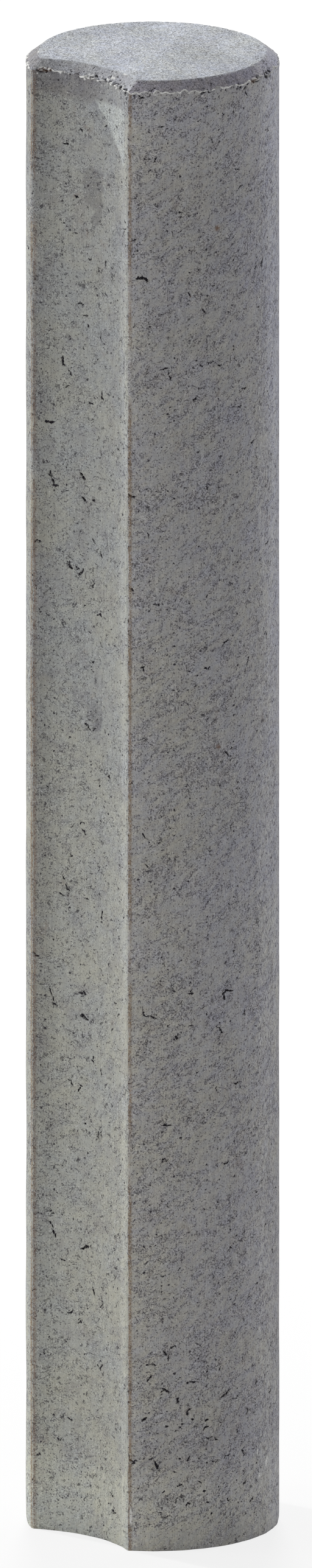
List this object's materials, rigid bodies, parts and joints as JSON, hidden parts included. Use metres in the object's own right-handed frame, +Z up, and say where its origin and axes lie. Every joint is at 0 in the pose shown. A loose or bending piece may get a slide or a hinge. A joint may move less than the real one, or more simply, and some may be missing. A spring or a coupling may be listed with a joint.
{
  "type": "concrete palisade",
  "caption": "Round concrete palisade, cast in one piece, with a hollow down one side that takes the next one's round and a chamfer round its head.",
  "frame": {"origin": "centre of the round at the foot, on the level the palisade stands on", "axes": "+Z up along the round's axis; -Y towards the hollow side; X across the hollow, with X = 0 the mirror plane"},
  "size_m": [0.1998, 0.1854, 1.2],
  "materials": {
    "concrete": "fair-faced cast concrete, matt grey, with small air pores and light drag marks"
  },
  "bodies": {
    "root": {"palisade": "concrete"}
  },
  "joints": []
}
